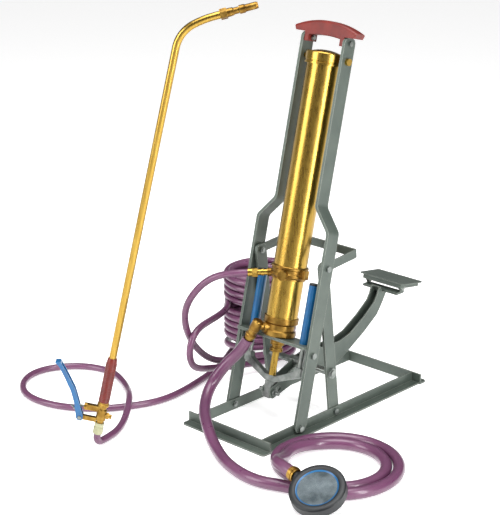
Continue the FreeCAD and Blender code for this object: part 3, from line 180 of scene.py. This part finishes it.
# ---------------------------------------------------------------- materials
class Shader:
    """Short names for building one node tree."""

    def __init__(self, name):
        self.material = bpy.data.materials.new(name)
        self.material.use_nodes = True
        self.tree = self.material.node_tree
        self.surface = self.tree.nodes["Principled BSDF"]
        self.place = self.tree.nodes.new("ShaderNodeTexCoord").outputs["Object"]

    def add(self, kind, **values):
        """A new node, its inputs and settings given by name."""
        made = self.tree.nodes.new(kind)
        for key, setting in values.items():
            if key in made.inputs:
                made.inputs[key].default_value = setting
            else:
                setattr(made, key, setting)
        return made

    def link(self, output, target):
        """Joins an output to an input."""
        self.tree.links.new(output, target)

    def noise(self, scale, detail=4.0, rough=0.55, stretch=None):
        """A noise pattern, stretched along an axis where one is given."""
        made = self.add("ShaderNodeTexNoise", Scale=scale, Detail=detail, Roughness=rough)
        if stretch is None:
            self.link(self.place, made.inputs["Vector"])
        else:
            mapping = self.add("ShaderNodeMapping", Scale=stretch)
            self.link(self.place, mapping.inputs["Vector"])
            self.link(mapping.outputs["Vector"], made.inputs["Vector"])
        return made.outputs["Fac"]

    def ramp(self, source, stops):
        """A colour ramp of (position, colour) stops."""
        made = self.add("ShaderNodeValToRGB")
        elements = made.color_ramp.elements
        while len(elements) < len(stops):
            elements.new(0.5)
        for element, (position, colour) in zip(elements, stops):
            element.position = position
            element.color = (*colour, 1.0)
        self.link(source, made.inputs["Fac"])
        return made.outputs["Color"]

    def spread(self, source, low, high):
        """A number pattern between two limits."""
        made = self.add("ShaderNodeMapRange")
        made.inputs["To Min"].default_value = low
        made.inputs["To Max"].default_value = high
        self.link(source, made.inputs["Value"])
        return made.outputs["Result"]

    def bump(self, source, strength, distance):
        """Raises the surface where the pattern is high."""
        made = self.add("ShaderNodeBump", Strength=strength, Distance=distance)
        self.link(source, made.inputs["Height"])
        self.link(made.outputs["Normal"], self.surface.inputs["Normal"])

    def edges(self, radius):
        """Near one along sharp edges, zero on flat faces."""
        bevel = self.add("ShaderNodeBevel", Radius=radius)
        bevel.samples = 6
        geometry = self.add("ShaderNodeNewGeometry")
        dot = self.add("ShaderNodeVectorMath", operation="DOT_PRODUCT")
        self.link(bevel.outputs["Normal"], dot.inputs[0])
        self.link(geometry.outputs["Normal"], dot.inputs[1])
        made = self.add("ShaderNodeMapRange")
        made.inputs["From Min"].default_value = 0.985
        made.inputs["From Max"].default_value = 0.88
        self.link(dot.outputs["Value"], made.inputs["Value"])
        return made.outputs["Result"]

    def mixed(self, factor, first, second):
        """A blend of two colours, each one a pattern or a plain colour."""
        made = self.add("ShaderNodeMix", data_type="RGBA")
        self.link(factor, made.inputs["Factor"])
        colour_inputs = [socket for socket in made.inputs if socket.type == "RGBA"]
        for socket, colour in zip(colour_inputs, (first, second)):
            if isinstance(colour, tuple):
                socket.default_value = (*colour, 1.0)
            else:
                self.link(colour, socket)
        return next(socket for socket in made.outputs if socket.type == "RGBA")

    def product(self, first, second):
        """Two patterns multiplied."""
        made = self.add("ShaderNodeMath", operation="MULTIPLY")
        self.link(first, made.inputs[0])
        self.link(second, made.inputs[1])
        return made.outputs[0]

    def set(self, **values):
        """Plain values on the surface shader's own sockets."""
        for key, setting in values.items():
            self.surface.inputs[key.replace("_", " ")].default_value = setting


def frame_paint():
    """Grey-green satin paint, mottled and finely pitted, with paler worn edges."""
    s = Shader("frame_paint")
    base = s.ramp(s.noise(14), [(0.3, (0.075, 0.096, 0.082)), (0.7, (0.110, 0.134, 0.114))])
    worn = s.product(s.edges(0.0022), s.spread(s.noise(90), 0.25, 1.0))
    colour = s.mixed(worn, base, (0.34, 0.36, 0.32))
    s.link(colour, s.surface.inputs["Base Color"])
    s.link(s.spread(s.noise(160), 0.30, 0.46), s.surface.inputs["Roughness"])
    s.set(Metallic=0.25)
    s.bump(s.noise(420, 6.0), 0.12, 0.0004)
    return s.material


def zinc_steel():
    """Dull zinc with a crystalline mottle."""
    s = Shader("zinc_steel")
    colour = s.ramp(s.noise(70), [(0.3, (0.16, 0.18, 0.17)), (0.7, (0.32, 0.34, 0.32))])
    s.link(colour, s.surface.inputs["Base Color"])
    s.link(s.spread(s.noise(200), 0.24, 0.45), s.surface.inputs["Roughness"])
    s.set(Metallic=0.9)
    s.bump(s.noise(500), 0.08, 0.0003)
    return s.material


def spring_steel():
    """Wound spring wire: bright turns, with dark bands of painted shade where the gaps between the turns
    are.
    """
    s = Shader("spring_steel")
    wave = s.add("ShaderNodeTexWave", wave_type="BANDS", bands_direction="Z", Scale=62.0)
    s.link(s.place, wave.inputs["Vector"])
    # The dark stop is painted shade for the gaps between the turns; the light stop is the wire's own
    # colour.
    colour = s.ramp(wave.outputs["Fac"], [(0.25, (0.03, 0.03, 0.03)), (0.6, (0.38, 0.39, 0.40))])
    s.link(colour, s.surface.inputs["Base Color"])
    s.link(s.spread(s.noise(300), 0.22, 0.40), s.surface.inputs["Roughness"])
    s.set(Metallic=0.9)
    s.bump(wave.outputs["Fac"], 0.8, 0.001)
    return s.material


def polished_brass():
    """Drawn brass tube: bright, with faint streaks along the tube and light tarnish."""
    s = Shader("polished_brass")
    streaks = s.noise(8, 8.0, 0.7, (26.0, 26.0, 0.5))
    tarnish = s.noise(9)
    bright = s.ramp(streaks, [(0.3, (0.40, 0.245, 0.045)), (0.7, (0.58, 0.385, 0.085))])
    colour = s.mixed(s.spread(tarnish, 0.0, 0.30), bright, (0.26, 0.13, 0.018))
    s.link(colour, s.surface.inputs["Base Color"])
    s.link(s.spread(streaks, 0.20, 0.36), s.surface.inputs["Roughness"])
    s.set(Metallic=1.0)
    s.bump(streaks, 0.05, 0.0003)
    return s.material


def cast_brass():
    """Sand-cast brass: grainy and browner in its hollows, brighter where it is rubbed."""
    s = Shader("cast_brass")
    base = s.ramp(s.noise(55), [(0.3, (0.14, 0.065, 0.012)), (0.55, (0.28, 0.160, 0.034)),
                                (0.75, (0.43, 0.265, 0.062))])
    worn = s.product(s.edges(0.0015), s.spread(s.noise(120), 0.3, 1.0))
    colour = s.mixed(worn, base, (0.62, 0.38, 0.08))
    s.link(colour, s.surface.inputs["Base Color"])
    s.link(s.spread(s.noise(180), 0.26, 0.46), s.surface.inputs["Roughness"])
    s.set(Metallic=1.0)
    s.bump(s.noise(330, 8.0), 0.30, 0.0006)
    return s.material


def moulded(name, dark, light, rough, grain, coat=0.2):
    """Moulded plastic or enamel: two close tones, a fine grain and a soft sheen."""
    s = Shader(name)
    colour = s.ramp(s.noise(40), [(0.3, dark), (0.7, light)])
    s.link(colour, s.surface.inputs["Base Color"])
    s.link(s.spread(s.noise(220), rough - 0.06, rough + 0.08), s.surface.inputs["Roughness"])
    s.set(Coat_Weight=coat, Coat_Roughness=0.15)
    s.bump(s.noise(700, 5.0), grain, 0.0003)
    return s.material


def purple_hose():
    """Glossy see-through hose: deep purple, a little cloudy, with painted shade that darkens its colour
    towards its outline.
    """
    s = Shader("purple_hose")
    cloudy = s.ramp(s.noise(9, 2.0), [(0.3, (0.125, 0.040, 0.094)), (0.7, (0.180, 0.064, 0.136))])
    # Painted shade: Layer Weight's facing mixes a dark purple into the base colour where the surface turns
    # from the view.
    painted_rim_shade = s.add("ShaderNodeLayerWeight", Blend=0.30)
    colour = s.mixed(painted_rim_shade.outputs["Facing"], cloudy, (0.070, 0.018, 0.056))
    s.link(colour, s.surface.inputs["Base Color"])
    s.link(s.spread(s.noise(60), 0.24, 0.34), s.surface.inputs["Roughness"])
    s.set(Subsurface_Weight=0.15, Subsurface_Scale=0.003, Coat_Weight=0.25, Coat_Roughness=0.18)
    s.surface.inputs["Subsurface Radius"].default_value = (1.0, 0.45, 0.9)
    s.bump(s.noise(300, 2.0), 0.02, 0.0002)
    return s.material


def grey_mesh():
    """Woven wire screen: two crossed waves of wires, with painted shade in the gaps between them."""
    s = Shader("grey_mesh")
    heights = []
    for direction in ("X", "Y"):
        wave = s.add("ShaderNodeTexWave", wave_type="BANDS", bands_direction=direction, Scale=260.0)
        s.link(s.place, wave.inputs["Vector"])
        heights.append(wave.outputs["Fac"])
    weave = s.add("ShaderNodeMath", operation="MAXIMUM")
    s.link(heights[0], weave.inputs[0])
    s.link(heights[1], weave.inputs[1])
    cloudy = s.ramp(s.noise(30), [(0.35, (0.06, 0.08, 0.09)), (0.7, (0.20, 0.24, 0.26))])
    # The near-black colour where neither wire lies is painted shade for the holes between the wires.
    colour = s.mixed(weave.outputs[0], (0.015, 0.022, 0.026), cloudy)
    s.link(colour, s.surface.inputs["Base Color"])
    s.set(Metallic=0.6, Roughness=0.42)
    s.bump(weave.outputs[0], 0.5, 0.0006)
    return s.material


def leather_cup():
    """Oiled leather with a creased grain."""
    s = Shader("leather_cup")
    colour = s.ramp(s.noise(60), [(0.3, (0.10, 0.05, 0.02)), (0.7, (0.22, 0.12, 0.05))])
    s.link(colour, s.surface.inputs["Base Color"])
    s.set(Roughness=0.5)
    s.bump(s.noise(500, 8.0), 0.4, 0.0005)
    return s.material


MATERIALS = {
    "frame_paint": frame_paint(),
    "zinc_steel": zinc_steel(),
    "spring_steel": spring_steel(),
    "polished_brass": polished_brass(),
    "cast_brass": cast_brass(),
    "red_plastic": moulded("red_plastic", (0.105, 0.006, 0.003), (0.175, 0.012, 0.006), 0.42, 0.15, 0.1),
    "blue_paint": moulded("blue_paint", (0.001, 0.085, 0.235), (0.002, 0.120, 0.310), 0.30, 0.06, 0.4),
    "black_plastic": moulded("black_plastic", (0.003, 0.004, 0.006), (0.007, 0.010, 0.012),
                             0.46, 0.12, 0.03),
    "leather_cup": leather_cup(),
    "cream_plastic": moulded("cream_plastic", (0.30, 0.30, 0.16), (0.45, 0.45, 0.28), 0.42, 0.10),
    "purple_hose": purple_hose(),
    "grey_mesh": grey_mesh(),
}


def dress_frame():
    """Every CAD node wears its slot's material."""
    for name, obj in NODES.items():
        material = MATERIALS[SLOTS[name]]
        if not obj.material_slots:
            obj.data.materials.append(material)
        for holder in obj.material_slots:
            holder.link = "OBJECT"
            holder.material = material


# ---------------------------------------------------------------- turned details
LANCE_PLACE = (Matrix.Translation((-0.1718, -0.2230, 0.0340)) @ Matrix.Rotation(math.radians(43.4), 4, "Z")
               @ Matrix.Rotation(math.radians(12.2), 4, "Y"))
STRAINER_PLACE = axis_place((0.366, -0.110, 0.039), (0.117, -0.452, 0.885))
GRIP_LOW, GRIP_SHOULDER, GRIP_TOP = 0.076, 0.168, 0.180
GRIP_BORE, GRIP_RADIUS, RIB_PITCH, RIB_DEPTH = 0.00805, 0.012, 0.004, 0.0008
# One rib: where along its pitch each corner comes, and how deep the corner lies.
RIB = [(0.15, RIB_DEPTH), (0.35, 0.0), (0.75, 0.0), (0.95, RIB_DEPTH)]
# The strainer's clamp ring and seal: (radius, height above the strainer's middle).
CLAMP_RING = [(0.0440, 0.0108), (0.0448, 0.0126), (0.0468, 0.0136), (0.0555, 0.0136), (0.0578, 0.0122),
              (0.0530, 0.0121), (0.0528, 0.0108)]
SEAL = [(0.0415, 0.0108), (0.0428, 0.0120), (0.0446, 0.0124), (0.0442, 0.0108)]


def ribbed_grip():
    """The lance's moulded grip, ringed with fine ribs below its tapered top."""
    profile = [(GRIP_BORE, GRIP_LOW), (GRIP_RADIUS - RIB_DEPTH, GRIP_LOW)]
    ribs = int((GRIP_SHOULDER - GRIP_LOW) / RIB_PITCH)
    for i in range(ribs):
        low = GRIP_LOW + RIB_PITCH * i
        profile += [(GRIP_RADIUS - depth, low + RIB_PITCH * part) for part, depth in RIB]
    profile += [(GRIP_RADIUS - RIB_DEPTH, GRIP_SHOULDER), (0.0102, GRIP_TOP - 0.002), (0.0090, GRIP_TOP),
                (GRIP_BORE, GRIP_TOP)]
    piece = finished(lathe("ribbed_grip", profile, LANCE_PLACE), "stand",
                     MATERIALS["red_plastic"])
    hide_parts("lance_grip")


def strainer_face():
    """Black clamp ring round the screen, with a blue seal showing inside it."""
    pieces = []
    for name, profile, slot in (("strainer_ring", CLAMP_RING, "black_plastic"),
                                ("strainer_seal", SEAL, "blue_paint")):
        pieces.append(finished(lathe(name, profile, STRAINER_PLACE), "stand", MATERIALS[slot]))
    return pieces


# ---------------------------------------------------------------- hoses
def delivery_hose():
    """From the vessel's outlet, up and down through the stack of turns, to the lance."""
    points = (DELIVERY_LEAD + coil_points(STACK_CENTRE, STACK_UP) + DELIVERY_LOOP
              + coil_points(STACK_CENTRE, STACK_DOWN) + DELIVERY_TAIL)
    piece = hose("delivery_hose", points, HOSE_WIDTH, MATERIALS["purple_hose"])
    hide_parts("delivery_hose_lead", "delivery_coil", "delivery_hose_loop", "delivery_hose_tail")


def suction_hose():
    """From the pump's elbow, round two turns on the floor, to the strainer."""
    points = SUCTION_LEAD + coil_points(RING_CENTRE, RING_TURNS) + SUCTION_TAIL
    piece = hose("suction_hose", points, SUCTION_WIDTH, MATERIALS["purple_hose"])
    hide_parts("suction_hose_lead", "suction_coil", "suction_hose_tail")
    strainer = [NODES["strainer_ferrule"], NODES["strainer_body"], NODES["strainer_mesh"]] + strainer_face()


# ---------------------------------------------------------------- camera, lights, floor
CAMERA_PLACE, CAMERA_TARGET = (2.2346, -2.2839, 1.4925), (-0.0528, 0.1340, 0.3772)
CAMERA_LENS, CAMERA_SENSOR = 110.87, 36.0
# Soft lights: place, what it faces, its width and height, and its power in watts.
LIGHTS = {
    "strip_right": ((2.6, -0.2, 1.1), (0.0, 0.2, 0.5), (0.35, 2.6), 60),
    "soft_left": ((-1.2, -2.6, 1.6), (0.0, 0.2, 0.4), (1.6, 2.0), 60),
    "top": ((0.2, -0.2, 2.8), (0.0, 0.2, 0.0), (2.0, 2.0), 70),
}
# Studio brightness from straight down (0) to straight up (1), as (position, level).
STUDIO_LEVELS = ((0.0, 0.85), (0.46, 0.70), (0.56, 0.16), (0.74, 0.35), (1.0, 1.0))
STUDIO_STRENGTH = 0.55
FLOOR_HALF, FLOOR_DROP = 30.0, 0.0005
FLOOR_WHITE, FLOOR_GLOW = 0.95, 0.55


def aim(obj, target):
    """Turns a camera or light to face a point."""
    direction = Vector(target) - obj.location
    obj.rotation_euler = direction.to_track_quat("-Z", "Y").to_euler()


def camera():
    """The camera at the reference angle."""
    data = bpy.data.cameras.new("camera")
    data.sensor_width = CAMERA_SENSOR
    data.lens = CAMERA_LENS
    obj = new_object("camera", data)
    obj.location = CAMERA_PLACE
    aim(obj, CAMERA_TARGET)
    bpy.context.scene.camera = obj


def lights():
    """Large soft lamps round the object."""
    for name, (place, target, size, power) in LIGHTS.items():
        data = bpy.data.lights.new(name, "AREA")
        data.shape = "RECTANGLE"
        data.size, data.size_y = size
        data.energy = power
        obj = new_object(name, data)
        obj.location = place
        aim(obj, target)


def studio_light(tree):
    """Background light that varies with height: bright ceiling and floor, darker walls."""
    place = tree.nodes.new("ShaderNodeTexCoord")
    split = tree.nodes.new("ShaderNodeSeparateXYZ")
    tree.links.new(place.outputs["Generated"], split.inputs[0])
    height = tree.nodes.new("ShaderNodeMapRange")
    height.inputs["From Min"].default_value = -1.0
    tree.links.new(split.outputs["Z"], height.inputs["Value"])
    ramp = tree.nodes.new("ShaderNodeValToRGB")
    while len(ramp.color_ramp.elements) < len(STUDIO_LEVELS):
        ramp.color_ramp.elements.new(0.5)
    for element, (position, level) in zip(ramp.color_ramp.elements, STUDIO_LEVELS):
        element.position = position
        element.color = (level, level, level, 1.0)
    tree.links.new(height.outputs["Result"], ramp.inputs["Fac"])
    studio = tree.nodes.new("ShaderNodeBackground")
    studio.inputs["Strength"].default_value = STUDIO_STRENGTH
    tree.links.new(ramp.outputs["Color"], studio.inputs["Color"])
    return studio.outputs[0]


def surroundings():
    """Plain white where the background itself is seen, and the studio light everywhere else."""
    world = bpy.data.worlds.new("studio")
    bpy.context.scene.world = world
    world.use_nodes = True
    tree = world.node_tree
    tree.nodes.clear()
    white = tree.nodes.new("ShaderNodeBackground")
    white.inputs["Color"].default_value = (1.0, 1.0, 1.0, 1.0)
    white.inputs["Strength"].default_value = 1.0
    ray = tree.nodes.new("ShaderNodeLightPath")
    mix = tree.nodes.new("ShaderNodeMixShader")
    tree.links.new(ray.outputs["Is Camera Ray"], mix.inputs["Fac"])
    tree.links.new(studio_light(tree), mix.inputs[1])
    tree.links.new(white.outputs[0], mix.inputs[2])
    output = tree.nodes.new("ShaderNodeOutputWorld")
    tree.links.new(mix.outputs[0], output.inputs["Surface"])


def floor():
    """A wide white ground that keeps a faint contact shadow."""
    signs = ((-1, -1), (1, -1), (1, 1), (-1, 1))
    corners = [(x * FLOOR_HALF, y * FLOOR_HALF, -FLOOR_DROP) for x, y in signs]
    mesh = bpy.data.meshes.new("floor")
    mesh.from_pydata(corners, [], [(0, 1, 2, 3)])
    obj = new_object("floor", mesh)
    s = Shader("floor_white")
    s.set(Roughness=0.9, Base_Color=(FLOOR_WHITE, FLOOR_WHITE, FLOOR_WHITE, 1.0),
          Emission_Color=(1.0, 1.0, 1.0, 1.0), Emission_Strength=FLOOR_GLOW)
    mesh.materials.append(s.material)


# ---------------------------------------------------------------- the whole scene
bpy.context.scene.view_settings.view_transform = "Standard"
camera()
delivery_hose()
suction_hose()
ribbed_grip()
dress_frame()
lights()
surroundings()
floor()
